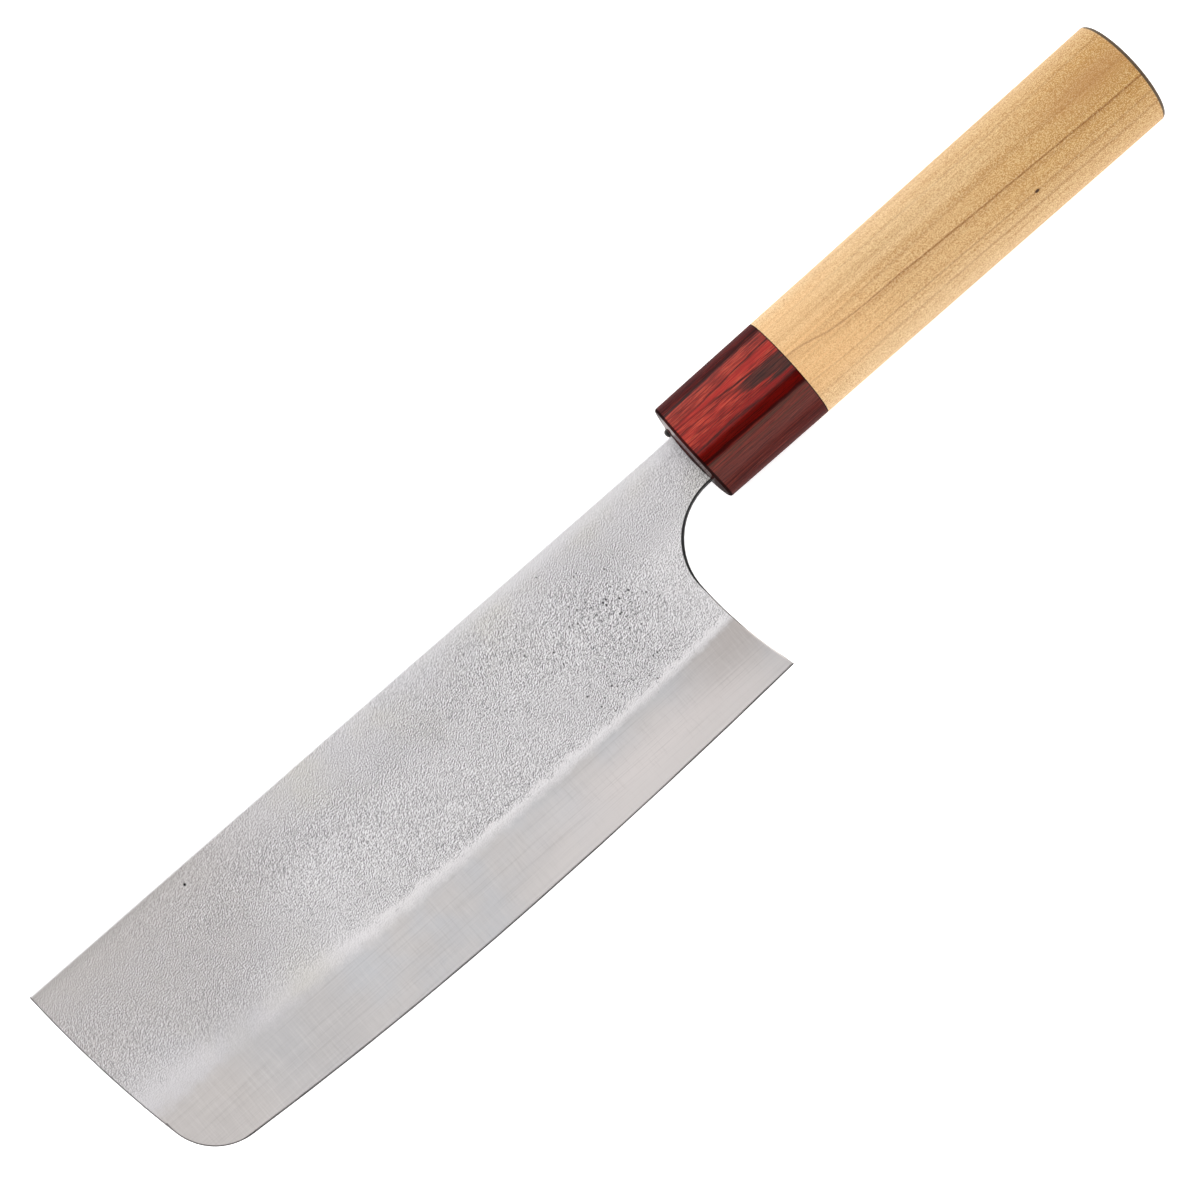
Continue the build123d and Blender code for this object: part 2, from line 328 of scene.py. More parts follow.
# Painted sheen along the spine, painted shade at the spine near the tip, and a painted glint on the spine's
# edge.
spine_sheen_share = product(t, ease(t, work["Crown"], *SPINE_SHEEN_WIDTH), ease(t, at["X"], *SPINE_SHEEN_LENGTH), 0.75)
tone = mix(t, spine_sheen_share, tone, seen(236, 234, 236))
tip_spine_shade = product(t, ease(t, work["Crown"], *TIP_SPINE_WIDTH), ease(t, at["X"], *TIP_SPINE_LENGTH), 0.6)
tone = mix(t, tip_spine_shade, tone, seen(186, 182, 180))
tone = mix(t, ease(t, work["Crown"], *GLINT_WIDTH, 0.0, 0.5), tone, seen(252, 251, 253))
dull = calc(t, "ADD", ease(t, grains, 0.4, 0.62, 0.38, 0.54), product(t, mottle, 0.05))
close_group(t, Tone=tone, Roughness=dull, Height=calc(t, "ADD", grains, product(t, hollows, 0.6)))

# Satin grinding: fine scratches along the blade, a few across it, and faint clouds
SCRATCHES_ALONG = (0.05, 4.0, 4.0)
SCRATCHES_ACROSS = (3.0, 0.12, 3.0)
LIT_BAND_LENGTH = (-95.0, -45.0)
LIT_BAND_END = (-12.0, -26.0)
HEEL_SHADE_LENGTH = (-40.0, -17.0)
TIP_SHADE_LENGTH = (-118.0, -136.0)
TOE_PAINTED_TONE_LENGTH = (-144.0, -158.0)
satin_group = new_group("ground_satin", [("Tone", COLOUR), ("Roughness", NUMBER), ("Height", NUMBER)])
t = satin_group
at = use_group(t, place_group)
work = use_group(t, worked_group)
along = noise(t, vector(t, "MULTIPLY", at["Place"], SCRATCHES_ALONG), 1.0, 4.0, 0.7)
cross = noise(t, vector(t, "MULTIPLY", at["Place"], SCRATCHES_ACROSS), 1.0, 3.0, 0.6)
haze = noise(t, at["Place"], 0.08, 3.0, 0.5)
tone = mix(t, ease(t, haze, 0.35, 0.7), seen(216, 212, 211), seen(213, 213, 216))
# Painted light in a band along the bevel, painted shade near the heel and toward the tip, and at the toe a
# painted tone lighter than the tip's shade.
painted_light_band = product(t, ease(t, at["X"], *LIT_BAND_LENGTH),
                      ease(t, at["X"], *LIT_BAND_END, 0.3, 1.0))
painted_light_band = product(t, painted_light_band, ease(t, work["Rise"], 1.0, 0.4))
tone = mix(t, painted_light_band, tone, seen(240, 233, 231))
heel_shade = product(t, ease(t, at["X"], *HEEL_SHADE_LENGTH), ease(t, work["Rise"], 0.15, 0.8))
tone = mix(t, heel_shade, tone, seen(205, 198, 195))
tone = mix(t, ease(t, at["X"], *TIP_SHADE_LENGTH, 0.0, 0.7), tone, seen(203, 200, 200))
tone = mix(t, ease(t, at["X"], *TOE_PAINTED_TONE_LENGTH, 0.0, 0.8), tone, seen(211, 205, 202))
tone = mix(t, product(t, ease(t, along, 0.48, 0.72), 0.24), tone, seen(160, 156, 156))
tone = mix(t, product(t, ease(t, along, 0.45, 0.25), 0.24), tone, seen(240, 236, 234))
tone = mix(t, product(t, ease(t, cross, 0.48, 0.7), 0.22), tone, seen(236, 232, 230))
tone = mix(t, product(t, ease(t, cross, 0.46, 0.28), 0.16), tone, seen(176, 170, 168))
dull = calc(t, "ADD", ease(t, along, 0.3, 0.75, 0.26, 0.38), product(t, haze, 0.06))
close_group(t, Tone=tone, Roughness=dull, Height=calc(t, "ADD", along, product(t, cross, 0.4)))

# Deep pits: three fields near the handle on the side that faces up, and one lone spot near the tip
PIT_SPACING = 1.2
PIT_SIZE = 0.12
PIT_GROWTH = 0.20
PIT_CHANCE = 0.52
LONE_SPOT = ((-137.1, 2.75), (0.5, 0.5))
deep_group = new_group("deep_pits", [("Mask", NUMBER)])
t = deep_group
at = use_group(t, place_group)
ragged = add(t, "ShaderNodeTexNoise", {"Vector": at["Place"], "Scale": 2.2, "Detail": 2.0}).outputs["Color"]
shaken = vector(t, "MULTIPLY_ADD", ragged, (0.5, 0.5, 0.5))
join(t, at["Place"], shaken.node.inputs[2])
spread = cells(t, vector(t, "MULTIPLY", shaken, (1.0, 1.0, 0.0)), PIT_SPACING)
chance = add(t, "ShaderNodeSeparateColor", {0: spread.outputs["Color"]}).outputs
size = calc(t, "MULTIPLY_ADD", product(t, chance[1], chance[1]), PIT_GROWTH, PIT_SIZE)
spot = ease(t, calc(t, "DIVIDE", spread.outputs["Distance"], size), 1.2, 0.75)
spot = product(t, spot, calc(t, "LESS_THAN", chance[0], product(t, pit_field(t, at), PIT_CHANCE)))
lone = ease(t, blob(t, at, *LONE_SPOT), 0.1, 0.5)
close_group(t, Mask=product(t, calc(t, "MAXIMUM", spot, lone), calc(t, "GREATER_THAN", at["Z"], 0.0)))

PAINTED_SHADE_TONE = seen(16, 14, 15)
DARK_BAND_ROUGHER = 0.3
DARK_BAND_LESS_METAL = 0.9
SKIN_RELIEF = 0.04 / TO_MM
cladding, t, shader = new_material("pear_skin_steel")
work = use_group(t, worked_group)
skin = use_group(t, skin_group)
satin = use_group(t, satin_group)
deep = use_group(t, deep_group)["Mask"]
ground = calc(t, "MAXIMUM", work["Bevel"], work["Wall"])
tone = mix(t, product(t, deep, 0.95), skin["Tone"], seen(34, 31, 33))
tone = mix(t, ground, tone, satin["Tone"])
# Painted shade as a dark line along the outline at the tip.
tone = mix(t, product(t, work["Rim"], 0.8), tone, seen(96, 92, 92))
# Painted shade on walls that face sideways.
tone = mix(t, product(t, work["Wall"], 0.7), tone, seen(132, 128, 127))
# Painted shade, near-black, where the Scale mask lies.
tone = mix(t, product(t, work["Scale"], 0.98), tone, PAINTED_SHADE_TONE)
rough = mix(t, ground, skin["Roughness"], satin["Roughness"])
rough = calc(t, "MULTIPLY_ADD", work["Scale"], DARK_BAND_ROUGHER, rough)
pitted = calc(t, "MULTIPLY_ADD", deep, -2.0, skin["Height"])
relief = mix(t, ground, pitted, product(t, satin["Height"], 0.12))
bump = add(t, "ShaderNodeBump", {"Strength": 0.6, "Distance": SKIN_RELIEF, "Height": relief}).outputs[0]
join(t, tone, shader.inputs["Base Color"])
join(t, rough, shader.inputs["Roughness"])
join(t, bump, shader.inputs["Normal"])
join(t, calc(t, "MULTIPLY_ADD", work["Scale"], -DARK_BAND_LESS_METAL, 1.0), shader.inputs["Metallic"])
shader.inputs["Specular IOR Level"].default_value = 0.2
dress(nodes["left_cladding"], cladding)

# Right cladding: the same layer on the side that lies toward the table.
# It has the same pear-skin and ground bevel, without the deep pits.
dress(nodes["right_cladding"], cladding)

# Core: the hard steel in the middle, bare as a strip along the edge and as a thin line round the outline.
# It takes a brighter polish than the cladding, mixed with painted light toward the heel, and painted shade
# makes the honed edge a fine dark line.
CORE_POLISH_AND_LIGHT_LENGTH = (-100.0, -60.0)
CORE_HEEL_LENGTH = (-10.0, -26.0)
CORE_RELIEF = 0.02 / TO_MM
core, t, shader = new_material("edge_steel")
work = use_group(t, worked_group)
satin = use_group(t, satin_group)
at = use_group(t, place_group)
# Brighter polish of the core, mixed with painted light that fades toward the tip.
polish_and_painted_light = product(t, ease(t, work["Rise"], 0.45, 0.1), ease(t, at["X"], *CORE_POLISH_AND_LIGHT_LENGTH, 0.1, 0.7),
                 ease(t, at["X"], *CORE_HEEL_LENGTH, 0.5, 1.0))
tone = mix(t, polish_and_painted_light, satin["Tone"], seen(236, 230, 228))
# Painted shade as a fine dark line on the honed edge and along the outline at the tip.
tone = mix(t, product(t, calc(t, "MAXIMUM", work["Honed"], work["Rim"]), 0.9), tone, seen(84, 80, 80))
# Painted shade on walls that face sideways.
tone = mix(t, product(t, work["Wall"], 0.7), tone, seen(140, 136, 135))
# Painted shade, near-black, where the Scale mask lies.
tone = mix(t, product(t, work["Scale"], 0.98), tone, PAINTED_SHADE_TONE)
rough = calc(t, "MULTIPLY_ADD", work["Scale"], DARK_BAND_ROUGHER, satin["Roughness"])
scratches = {"Strength": 0.12, "Distance": CORE_RELIEF, "Height": satin["Height"]}
bump = add(t, "ShaderNodeBump", scratches).outputs[0]
join(t, tone, shader.inputs["Base Color"])
join(t, rough, shader.inputs["Roughness"])
join(t, bump, shader.inputs["Normal"])
join(t, calc(t, "MULTIPLY_ADD", work["Scale"], -DARK_BAND_LESS_METAL, 1.0), shader.inputs["Metallic"])
shader.inputs["Specular IOR Level"].default_value = 0.2
dress(nodes["core_steel"], core)

# Ferrule: a block of thin wood layers dyed red, black and purple, soaked with resin and polished.
# The layers run along the handle and show as streaks, one wide dark layer as a flame near the joint.
# Its front is a shallow dome, glossier toward the rim, where a painted reflection lightens the face's outer
# ring and painted shade darkens the face and rim.
CURVE_SPAN = 30.0
FERRULE_START = -1.0
FERRULE_END = 29.0
FERRULE_HALF = 12.1
FERRULE_HALF_HEIGHT = 9.34
FACE_DOME = 60.0


def path(tree, along, points, first=FERRULE_START, last=FERRULE_END):
    """The place across the handle that a streak has, from a few points (x, y) along it."""
    made = add(tree, "ShaderNodeFloatCurve", {"Value": offset(tree, along, first, last - first)})
    curve = made.mapping.curves[0]
    spots = [((x - first) / (last - first), y / CURVE_SPAN + 0.5) for x, y in points]
    curve.points[0].location = spots[0]
    curve.points[1].location = spots[-1]
    for spot in spots[1:-1]:
        curve.points.new(*spot)
    made.mapping.update()
    return calc(tree, "MULTIPLY_ADD", made.outputs[0], CURVE_SPAN, -CURVE_SPAN / 2)


def streak(tree, across, centre, width, soft):
    """One along a line, fading out over soft beyond half its width."""
    away = calc(tree, "ABSOLUTE", calc(tree, "SUBTRACT", across, centre))
    return ease(tree, away, width / 2 + soft, width / 2)


def bands(tree, value, start, end, stops):
    """A colour ramp over value, with stops given as (value, colour)."""
    made = add(tree, "ShaderNodeValToRGB", {0: offset(tree, value, start, end - start)})
    ramp = made.color_ramp
    ramp.interpolation = "EASE"
    marks = [((mark - start) / (end - start), tone) for mark, tone in stops]
    ramp.elements[0].position, ramp.elements[0].color = marks[0]
    ramp.elements[1].position, ramp.elements[1].color = marks[-1]
    for position, tone in marks[1:-1]:
        ramp.elements.new(position).color = tone
    return made.outputs[0]


LAYERS = [
    (-FERRULE_HALF, seen(80, 20, 16)),
    (-8.6, seen(106, 40, 32)),
    (-6.2, seen(122, 42, 32)),
    (-4.8, seen(102, 9, 5)),
    (-3.2, seen(104, 11, 7)),
    (-1.6, seen(150, 24, 16)),
    (2.0, seen(184, 50, 40)),
    (8.2, seen(158, 46, 36)),
    (9.1, seen(66, 10, 14)),
    (FERRULE_HALF, seen(72, 12, 20)),
]
DARK_LINES = [
    ([(-1.0, 5.2), (7.0, 5.4), (29.0, 6.6)], 0.16, 0.22, 0.7),
    ([(-1.0, 4.3), (9.0, 4.1), (20.0, 3.2), (29.0, 2.6)], 0.18, 0.25, 0.75),
    ([(-1.0, 8.6), (14.0, 9.2), (29.0, 9.7)], 0.30, 0.35, 0.8),
    ([(-1.0, -2.0), (10.0, -2.0), (29.0, -2.9)], 0.20, 0.30, 0.6),
    ([(-1.0, -4.4), (9.0, -4.9), (29.0, -5.0)], 0.35, 0.35, 0.8),
]
GLOW_LINE = [(-1.0, 4.8), (10.0, 4.7), (18.0, 5.0), (29.0, 5.1)]
GLOW_LENGTH = (0.0, 8.0)
HOT_LINE = [(-1.0, -1.4), (18.0, -1.5), (29.0, -1.9)]
HOT_LENGTH = (14.0, 20.0)
FLAME_LINE = [(-1.0, 2.9), (13.0, 2.7), (20.0, 1.5), (29.0, 0.5)]
FLAME_LENGTH = (10.0, 20.0)
FLAME_GROWTH = (10.0, 25.0)
FLAME_WIDTH = 1.5
FLAME_FRAY = 5.0
RED_FOOT = (-3.0, 1.0)
RED_TOP = (9.8, 7.8)
LOW_PART = (-5.2, -6.4)
LOW_GREY_TOP = (-4.8, -6.0)
LOW_GREY_FOOT = (-9.6, -6.6)
RIM_DEPTH = (0.58, 0.40)
FACE_DEPTH = (0.04, -0.02)
RING_SHARES = (0.54, 0.66)
RING_LOW = (-8.2, -5.8)
RING_TOP = (10.5, 7.5)
JOINT_LENGTH = (27.65, 27.9)
WORN_TOP = (8.3, 9.6)
WORN_LOW = (-8.8, -10.4)
VARNISH = 0.42
VARNISH_LOST_AT_RIM = 0.34
DYED_DEPTH = 0.02 / TO_MM
dyed, t, shader = new_material("dyed_laminated_wood")
at = use_group(t, place_group)
waver = noise(t, vector(t, "MULTIPLY", at["Place"], (0.10, 0.55, 0.55)), 1.0, 3.0, 0.55)
below = product(t, calc(t, "MINIMUM", at["Z"], 0.0), 0.5)
across = calc(t, "ADD", calc(t, "ADD", at["Y"], below), product(t, calc(t, "SUBTRACT", waver, 0.5), 1.4))
tone = bands(t, across, -FERRULE_HALF, FERRULE_HALF, LAYERS)
fibres = noise(t, vector(t, "MULTIPLY", at["Place"], (0.08, 3.8, 3.8)), 1.0, 4.0, 0.7)
ribbons = noise(t, vector(t, "MULTIPLY", at["Place"], (0.04, 1.3, 1.3)), 1.0, 3.0, 0.6)
pores = noise(t, vector(t, "MULTIPLY", at["Place"], (0.25, 5.0, 5.0)), 1.0, 1.0, 0.6)
red_part = product(t, ease(t, across, *RED_FOOT), ease(t, across, *RED_TOP, 0.2, 1.0))
tone = mix(t, ease(t, ribbons, 0.52, 0.66, 0.0, 0.5), tone, seen(92, 18, 14))
tone = mix(t, ease(t, fibres, 0.50, 0.64, 0.0, 0.75), tone, seen(54, 8, 6))
tone = mix(t, product(t, ease(t, fibres, 0.46, 0.30), red_part, 0.55), tone, seen(210, 74, 52))
low_part = ease(t, across, *LOW_PART)
tone = mix(t, product(t, ease(t, fibres, 0.46, 0.30), low_part, 0.5), tone, seen(150, 72, 58))
tone = mix(t, ease(t, pores, 0.50, 0.64, 0.0, 0.45), tone, seen(40, 8, 6))
tone = mix(t, product(t, ease(t, pores, 0.46, 0.34), red_part, 0.4), tone, seen(226, 98, 70))
for points, width, soft, share in DARK_LINES:
    mask = streak(t, across, path(t, at["X"], points), width, soft)
    tone = mix(t, product(t, mask, share), tone, seen(44, 8, 8))
glow = product(t, streak(t, across, path(t, at["X"], GLOW_LINE), 0.5, 0.7),
               ease(t, at["X"], *GLOW_LENGTH, 0.3, 0.6))
tone = mix(t, glow, tone, seen(186, 40, 34))
hot = product(t, streak(t, across, path(t, at["X"], HOT_LINE), 0.4, 0.6),
              ease(t, at["X"], *HOT_LENGTH, 0.0, 0.6))
tone = mix(t, hot, tone, seen(140, 12, 12))
frayed = calc(t, "ADD", across, product(t, calc(t, "SUBTRACT", ribbons, 0.5), FLAME_FRAY))
away = calc(t, "ABSOLUTE", calc(t, "SUBTRACT", frayed, path(t, at["X"], FLAME_LINE)))
flame_width = ease(t, at["X"], *FLAME_GROWTH, 0.0, FLAME_WIDTH)
in_flame = ease(t, calc(t, "SUBTRACT", away, flame_width), 0.7, -0.2)
flame = product(t, in_flame, ease(t, at["X"], *FLAME_LENGTH))
flame_tone = mix(t, ease(t, fibres, 0.4, 0.6), seen(52, 40, 34), seen(34, 24, 22))
tone = mix(t, product(t, flame, 0.85), tone, flame_tone)
low_grey = product(t, ease(t, across, *LOW_GREY_TOP), ease(t, across, *LOW_GREY_FOOT),
                   ease(t, ribbons, 0.42, 0.6, 0.05, 0.7))
tone = mix(t, low_grey, tone, seen(72, 46, 34))
from_dome = distance(t, offset(t, at["X"], FACE_DOME), at["Y"], at["Z"])
inward = calc(t, "SUBTRACT", FACE_DOME, from_dome)
rim = ease(t, inward, *RIM_DEPTH)
half_wide = offset(t, at["Y"], 0.0, FERRULE_HALF)
half_high = offset(t, at["Z"], 0.0, FERRULE_HALF_HEIGHT)
gloss_and_painted_reflection = product(t, ease(t, inward, *FACE_DEPTH),
                   ease(t, distance(t, half_wide, half_high), *RING_SHARES))
gloss_and_painted_reflection = product(t, gloss_and_painted_reflection, ease(t, at["Y"], *RING_LOW, 0.12, 1.0),
                   ease(t, at["Y"], *RING_TOP, 0.4, 1.0))
joint = ease(t, at["X"], *JOINT_LENGTH)
# Painted shade on the front face and its rim; the dark line at the grip is the joint's own colour.
tone = mix(t, product(t, calc(t, "MAXIMUM", rim, joint), 0.9), tone, seen(24, 8, 8))
# Painted reflection on the face's outer ring, which is also glossier.
tone = mix(t, product(t, gloss_and_painted_reflection, 0.35), tone, seen(120, 58, 52))
join(t, tone, shader.inputs["Base Color"])
join(t, ease(t, fibres, 0.3, 0.75, 0.40, 0.52), shader.inputs["Roughness"])
shader.inputs["Specular IOR Level"].default_value = 0.0
worn = product(t, ease(t, at["Y"], *WORN_TOP, 1.0, 0.3), ease(t, at["Y"], *WORN_LOW, 1.0, 0.4))
varnish = calc(t, "MULTIPLY_ADD", rim, -VARNISH_LOST_AT_RIM, VARNISH)
join(t, calc(t, "MAXIMUM", product(t, varnish, worn), gloss_and_painted_reflection), shader.inputs["Coat Weight"])
shader.inputs["Coat Roughness"].default_value = 0.12
bump = add(t, "ShaderNodeBump", {"Strength": 0.3, "Distance": DYED_DEPTH, "Height": fibres}).outputs[0]
join(t, bump, shader.inputs["Normal"])
dress(nodes["ferrule"], dyed)

# Grip: one piece of pale close-grained wood, turned oval, sanded fine and left without varnish.
# A few brown growth lines run along it, and one of them slants down from the joint.
# A pin knot lies past the middle.
GRIP_START = 27.0
GRIP_END = 122.0
BUTT_DOME = 140.0
BUTT_CENTRE = -18.5
GROWTH_LINES = [
    ([(27.0, 0.7), (31.0, 0.4), (38.4, -1.15), (60.0, -2.4), (95.0, -3.53), (122.0, -4.4)],
     0.14, 0.26, 0.78),
    ([(27.0, 0.1), (38.4, -2.1), (60.0, -3.2), (95.0, -4.3), (122.0, -5.2)], 0.10, 1.0, 0.16),
    ([(27.0, -6.5), (73.0, -7.5), (122.0, -8.1)], 0.10, 0.26, 0.40),
    ([(27.0, -9.5), (73.0, -9.8), (122.0, -10.2)], 0.12, 0.30, 0.28),
    ([(27.0, 7.6), (70.0, 7.5), (122.0, 8.2)], 0.12, 0.32, 0.26),
    ([(27.0, 4.6), (80.0, 5.0), (122.0, 5.4)], 0.20, 0.9, 0.10),
    ([(70.0, 1.2), (95.0, 1.6), (122.0, 1.0)], 0.20, 0.8, 0.20),
]
GRIP_TONES = [
    (28.0, seen(255, 203, 143)),
    (60.0, seen(234, 188, 132)),
    (95.0, seen(218, 169, 104)),
    (121.5, seen(203, 150, 74)),
]
KNOT = ((89.0, -7.8), (1.25, 0.6))
BLUSH = ((112.0, 1.8), (20.0, 6.0))
SIDE_WIDTH = (5.5, 12.0)
SIDE_LENGTH = (60.0, 121.0)
PALE_BAND_FOOT = (1.6, 4.0)
PALE_BAND_TOP = (9.6, 7.6)
PALE_BAND_LENGTH = (108.0, 74.0)
WARM_LENGTH = (58.0, 32.0)
WARM_WIDTH = (11.0, 8.0)
END_GRAIN_AND_SHADE = (BUTT_DOME - 0.96, BUTT_DOME - 0.74)
PORE_STRETCH = (0.5, 4.0, 4.0)
WOOD_DEPTH = 0.03 / TO_MM
pale, t, shader = new_material("pale_wood")
at = use_group(t, place_group)
below = product(t, calc(t, "MINIMUM", at["Z"], 0.0), 0.45)
wander = noise(t, vector(t, "MULTIPLY", at["Place"], (0.045, 0.25, 0.25)), 1.0, 4.0, 0.5)
across = calc(t, "ADD", calc(t, "ADD", at["Y"], below), product(t, calc(t, "SUBTRACT", wander, 0.5), 1.0))
tone = bands(t, at["X"], GRIP_TONES[0][0], GRIP_TONES[-1][0], GRIP_TONES)
wide = noise(t, vector(t, "MULTIPLY", at["Place"], (0.016, 0.22, 0.22)), 1.0, 3.0, 0.5)
fibres = noise(t, vector(t, "MULTIPLY", at["Place"], (0.08, 3.4, 3.4)), 1.0, 4.0, 0.65)
fine = noise(t, vector(t, "MULTIPLY", at["Place"], (1.8, 5.2, 5.2)), 1.0, 2.0, 0.7)
fleck = noise(t, at["Place"], 4.4, 1.0, 0.6)
veins = noise(t, vector(t, "MULTIPLY", at["Place"], (0.010, 1.5, 1.5)), 1.0, 2.0, 0.5)
tone = mix(t, ease(t, wide, 0.42, 0.68, 0.0, 0.45), tone, seen(208, 160, 98))
# Painted light on both sides of the grip, stronger toward the ferrule.
lit_sides = ease(t, calc(t, "ABSOLUTE", at["Y"]), *SIDE_WIDTH)
tone = mix(t, product(t, lit_sides, ease(t, at["X"], *SIDE_LENGTH, 0.55, 0.30)), tone, seen(243, 210, 168))
pale_band = product(t, ease(t, at["Y"], *PALE_BAND_FOOT), ease(t, at["Y"], *PALE_BAND_TOP),
                    ease(t, at["X"], *PALE_BAND_LENGTH))
tone = mix(t, product(t, pale_band, 0.45), tone, seen(253, 220, 172))
tone = mix(t, ease(t, veins, 0.52, 0.62, 0.0, 0.36), tone, seen(184, 128, 66))
tone = mix(t, ease(t, fibres, 0.48, 0.72, 0.0, 0.36), tone, seen(190, 136, 72))
tone = mix(t, ease(t, fine, 0.50, 0.66, 0.0, 0.38), tone, seen(184, 130, 68))
tone = mix(t, ease(t, fine, 0.48, 0.34, 0.0, 0.34), tone, seen(250, 212, 152))
tone = mix(t, ease(t, fleck, 0.50, 0.62, 0.0, 0.55), tone, seen(255, 228, 172))
tone = mix(t, ease(t, fleck, 0.48, 0.38, 0.0, 0.48), tone, seen(172, 118, 60))
for points, width, soft, share in GROWTH_LINES:
    mask = streak(t, across, path(t, at["X"], points, GRIP_START, GRIP_END), width, soft)
    broken = ease(t, fine, 0.36, 0.60, 0.45, 1.0)
    tone = mix(t, product(t, mask, broken, share), tone, seen(134, 76, 28))
tone = mix(t, product(t, blob(t, at, *BLUSH), 0.5), tone, seen(192, 138, 84))
knot = product(t, blob(t, at, *KNOT), calc(t, "GREATER_THAN", at["Z"], 0.0))
tone = mix(t, ease(t, knot, 0.05, 0.6, 0.0, 0.35), tone, seen(150, 98, 52))
tone = mix(t, ease(t, knot, 0.45, 0.75), tone, seen(74, 46, 24))
pores = cells(t, vector(t, "MULTIPLY", at["Place"], PORE_STRETCH), 1.0)
pore_chance = add(t, "ShaderNodeSeparateColor", {0: pores.outputs["Color"]}).outputs[0]
open_pore = calc(t, "LESS_THAN", pore_chance, 0.3)
pore = product(t, ease(t, pores.outputs["Distance"], 0.2, 0.08), open_pore)
tone = mix(t, product(t, pore, 0.4), tone, seen(140, 94, 54))
warm = product(t, ease(t, at["X"], *WARM_LENGTH), ease(t, calc(t, "ABSOLUTE", at["Y"]), *WARM_WIDTH), 0.35)
tone = mix(t, warm, tone, seen(255, 204, 146))
# The butt's rim is darkened, partly by the end grain's own colour and partly by painted shade.
from_dome = distance(t, offset(t, at["X"], BUTT_CENTRE), at["Y"], at["Z"])
end_grain_and_shade = ease(t, from_dome, *END_GRAIN_AND_SHADE)
tone = mix(t, product(t, end_grain_and_shade, 0.92), tone, seen(66, 52, 40))
join(t, tone, shader.inputs["Base Color"])
join(t, ease(t, fine, 0.3, 0.75, 0.50, 0.66), shader.inputs["Roughness"])
shader.inputs["Specular IOR Level"].default_value = 0.3
relief = calc(t, "SUBTRACT", calc(t, "ADD", fibres, product(t, fine, 0.5)), pore)
bump = add(t, "ShaderNodeBump", {"Strength": 0.4, "Distance": WOOD_DEPTH, "Height": relief}).outputs[0]
join(t, bump, shader.inputs["Normal"])
dress(nodes["grip"], pale)

# Tang bedding: the resin cast round the tang inside the handle, hidden on a whole knife.
# It is amber and slightly cloudy, with small bubbles.
bedding, t, shader = new_material("bedding_resin")
at = use_group(t, place_group)
cloudy = noise(t, at["Place"], 0.8, 3.0, 0.5)
bubbles = ease(t, cells(t, at["Place"], 1.4).outputs["Distance"], 0.22, 0.10)
tone = mix(t, ease(t, cloudy, 0.35, 0.7), seen(176, 134, 74), seen(206, 170, 108))
tone = mix(t, calc(t, "MULTIPLY", bubbles, 0.4), tone, seen(228, 204, 156))
join(t, tone, shader.inputs["Base Color"])
join(t, ease(t, cloudy, 0.3, 0.7, 0.22, 0.4), shader.inputs["Roughness"])
dress(nodes["tang_bedding"], bedding)

# Mouth seal: black resin run into the slot round the neck, where it was left to set.
# It lies about level with the ferrule's face, with an uneven skin, and a small bead stands over the spine.
SLOT_LOW = (-0.5, -7.25, -2.05)
SLOT_HIGH = (1.45, 7.85, 2.05)
NECK_LOW = (-3.0, -6.95, -1.72)
NECK_HIGH = (3.0, 5.5, 1.72)
PROUD_OF_FACE = 0.06
BEAD_CENTRE = (0.32, 6.55, 0.25)
BEAD_HALF = (0.78, 0.98, 1.45)
RESIN_VOXEL = 0.09 / TO_MM
RESIN_LUMPS = 1.1 / TO_MM
RESIN_RELIEF = 0.16 / TO_MM
FILM_DEPTH = 0.04 / TO_MM


def only(piece):
    bpy.ops.object.select_all(action="DESELECT")
    piece.select_set(True)
    bpy.context.view_layer.objects.active = piece


def apply_modifier(piece, kind, **settings):
    only(piece)
    made = piece.modifiers.new(kind.lower(), kind)
    for name, value in settings.items():
        setattr(made, name, value)
    bpy.ops.object.modifier_apply(modifier=made.name)


def block(name, low, high):
    """A box between two corners, given in millimetres from the ferrule's mouth."""
    low, high = Vector(low) + MOUTH, Vector(high) + MOUTH
    bpy.ops.object.select_all(action="DESELECT")
    bpy.ops.mesh.primitive_cube_add(size=1.0, location=(low + high) / 2 / TO_MM, scale=(high - low) / TO_MM)
    made = bpy.context.object
    made.name = name
    bpy.ops.object.transform_apply(location=True, rotation=True, scale=True)
    return made


def carve(piece, tool, operation):
    apply_modifier(piece, "BOOLEAN", object=tool, operation=operation, solver="EXACT")
    bpy.data.objects.remove(tool)


def ball(centre, half, **steps):
    """A rounded lump with these half sizes, given in millimetres from the ferrule's mouth."""
    bpy.ops.object.select_all(action="DESELECT")
    bpy.ops.mesh.primitive_uv_sphere_add(radius=1.0, location=(Vector(centre) + MOUTH) / TO_MM,
                                         scale=[size / TO_MM for size in half], **steps)
    bpy.ops.object.transform_apply(location=True, rotation=True, scale=True)
    return bpy.context.object


seal = block("mouth_resin", SLOT_LOW, SLOT_HIGH)
bpy.ops.object.select_all(action="DESELECT")
dome_at = (Vector((FACE_DOME, 0.0, 0.0)) + MOUTH) / TO_MM
dome_radius = (FACE_DOME + PROUD_OF_FACE) / TO_MM
bpy.ops.mesh.primitive_uv_sphere_add(segments=256, ring_count=128, radius=dome_radius, location=dome_at)
dome = bpy.context.object
bpy.ops.object.transform_apply(location=True, rotation=True, scale=True)
carve(seal, dome, "INTERSECT")
carve(seal, ball(BEAD_CENTRE, BEAD_HALF, segments=32, ring_count=20), "UNION")
carve(seal, block("neck_space", NECK_LOW, NECK_HIGH), "DIFFERENCE")
apply_modifier(seal, "REMESH", mode="VOXEL", voxel_size=RESIN_VOXEL, use_smooth_shade=True)
uneven = bpy.data.textures.new("resin_skin", "CLOUDS")
uneven.noise_scale = RESIN_LUMPS
uneven.noise_depth = 1
apply_modifier(seal, "DISPLACE", texture=uneven, texture_coords="LOCAL", strength=RESIN_RELIEF,
               mid_level=0.6)
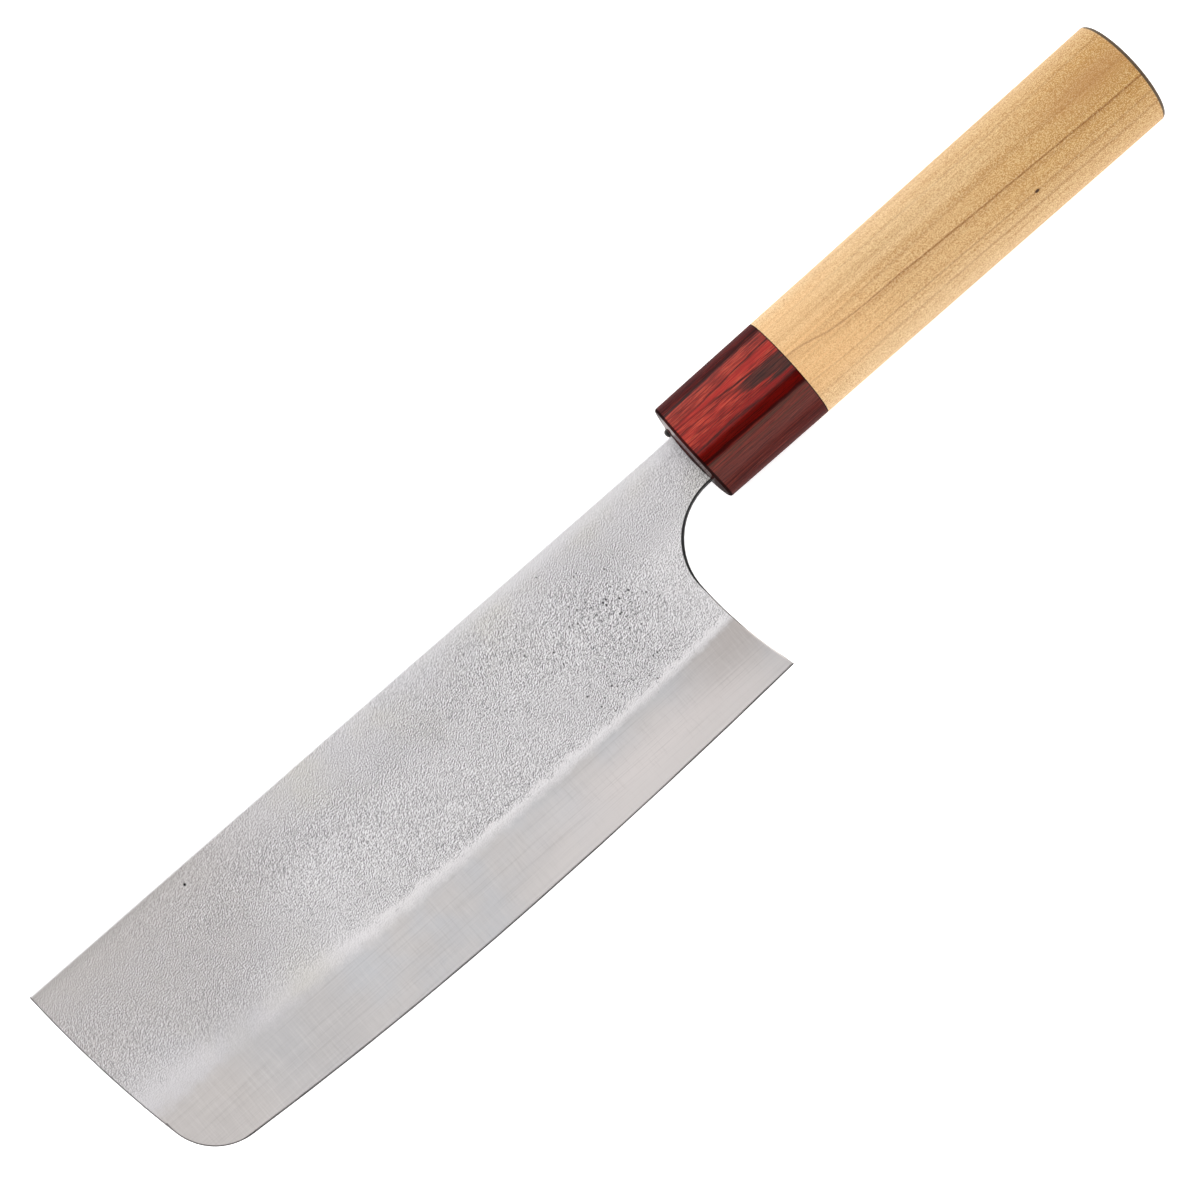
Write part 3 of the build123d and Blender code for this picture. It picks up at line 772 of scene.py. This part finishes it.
apply_modifier(seal, "SMOOTH", factor=0.5, iterations=4)
only(seal)
bpy.ops.object.shade_smooth()
resin, t, shader = new_material("black_resin")
at = use_group(t, place_group)
film = noise(t, at["Place"], 1.3, 3.0, 0.5)
join(t, mix(t, ease(t, film, 0.4, 0.7), seen(24, 20, 20), seen(46, 38, 36)), shader.inputs["Base Color"])
join(t, ease(t, film, 0.3, 0.7, 0.35, 0.50), shader.inputs["Roughness"])
shader.inputs["Specular IOR Level"].default_value = 0.2
bump = add(t, "ShaderNodeBump", {"Strength": 0.3, "Distance": FILM_DEPTH, "Height": film}).outputs[0]
join(t, bump, shader.inputs["Normal"])
seal.data.materials.clear()
seal.data.materials.append(resin)
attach(seal, "root")
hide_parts("mouth_seal")

# Floor: a plain sheet of white acrylic that the knife lies on, lit a little from below as a light table is.
# It isn't part of the knife.
FLOOR_SIZE = 6.0
FLOOR_TONE = (0.93, 0.93, 0.93, 1.0)
FLOOR_GLOW = 0.6
WHITE = (1.0, 1.0, 1.0, 1.0)
bpy.ops.object.select_all(action="DESELECT")
bpy.ops.mesh.primitive_plane_add(size=FLOOR_SIZE, location=(0.0, 0.0, 0.0))
floor = bpy.context.object
floor.name = "floor"
acrylic, t, shader = new_material("white_acrylic")
shader.inputs["Base Color"].default_value = FLOOR_TONE
shader.inputs["Emission Color"].default_value = WHITE
shader.inputs["Emission Strength"].default_value = FLOOR_GLOW
shader.inputs["Roughness"].default_value = 0.9
shader.inputs["Specular IOR Level"].default_value = 0.0
floor.data.materials.append(acrylic)

# Light: a pale tent round the knife, with a darker gap on the edge side where the photographer works.
# The gap's borders show in the polished ferrule. The camera doesn't see the gap itself.
SKY_TOP = 1.3
SKY_RIM = 1.6
GAP_FROM = math.radians(8.2)
GAP_TO = math.radians(32.0)
GAP_SOFT = math.radians(2.6)
GAP_SHARE = 0.97
world = bpy.data.worlds.new("studio")
bpy.context.scene.world = world
world.use_nodes = True
t = world.node_tree
direction = add(t, "ShaderNodeTexCoord").outputs["Generated"]
ways = add(t, "ShaderNodeSeparateXYZ", {0: direction}).outputs
tilt = calc(t, "ARCTAN2", product(t, ways[1], -1.0), ways[2])
opens = ease(t, tilt, GAP_FROM - GAP_SOFT, GAP_FROM + GAP_SOFT)
gap = product(t, opens, ease(t, tilt, GAP_TO, GAP_TO - GAP_SOFT))
unseen = calc(t, "SUBTRACT", 1.0, add(t, "ShaderNodeLightPath").outputs["Is Camera Ray"])
gap = product(t, gap, GAP_SHARE, unseen)
sky = ease(t, ways[2], 0.0, 1.0, SKY_RIM, SKY_TOP)
join(t, product(t, sky, calc(t, "SUBTRACT", 1.0, gap)), t.nodes["Background"].inputs["Strength"])
t.nodes["Background"].inputs["Color"].default_value = WHITE

# Camera: above the knife and a little to the edge side, turned so that the handle points up to the right.
# Its distance comes from how the handle's joint and butt bow in the photograph.
TARGET = Vector((-0.00563, 0.00764, 0.00934))
LEAN = math.radians(8.0)
TURN = math.radians(41.53)
DISTANCE = 0.503
SENSOR_MM = 36.0
LENS_MM = 72.8
NEAREST = 0.01
back = Vector((0.0, -math.sin(LEAN), math.cos(LEAN)))
across_view = Vector((1.0, 0.0, 0.0))
up_view = back.cross(across_view)
right = math.cos(TURN) * across_view - math.sin(TURN) * up_view
upward = math.sin(TURN) * across_view + math.cos(TURN) * up_view
lens = bpy.data.cameras.new("camera")
lens.sensor_width = SENSOR_MM
lens.lens = LENS_MM
lens.clip_start = NEAREST
camera = bpy.data.objects.new("camera", lens)
bpy.context.scene.collection.objects.link(camera)
turned = Matrix((right, upward, back)).transposed().to_4x4()
camera.matrix_world = Matrix.Translation(TARGET + back * DISTANCE) @ turned
bpy.context.scene.camera = camera
bpy.context.scene.view_settings.view_transform = "Standard"
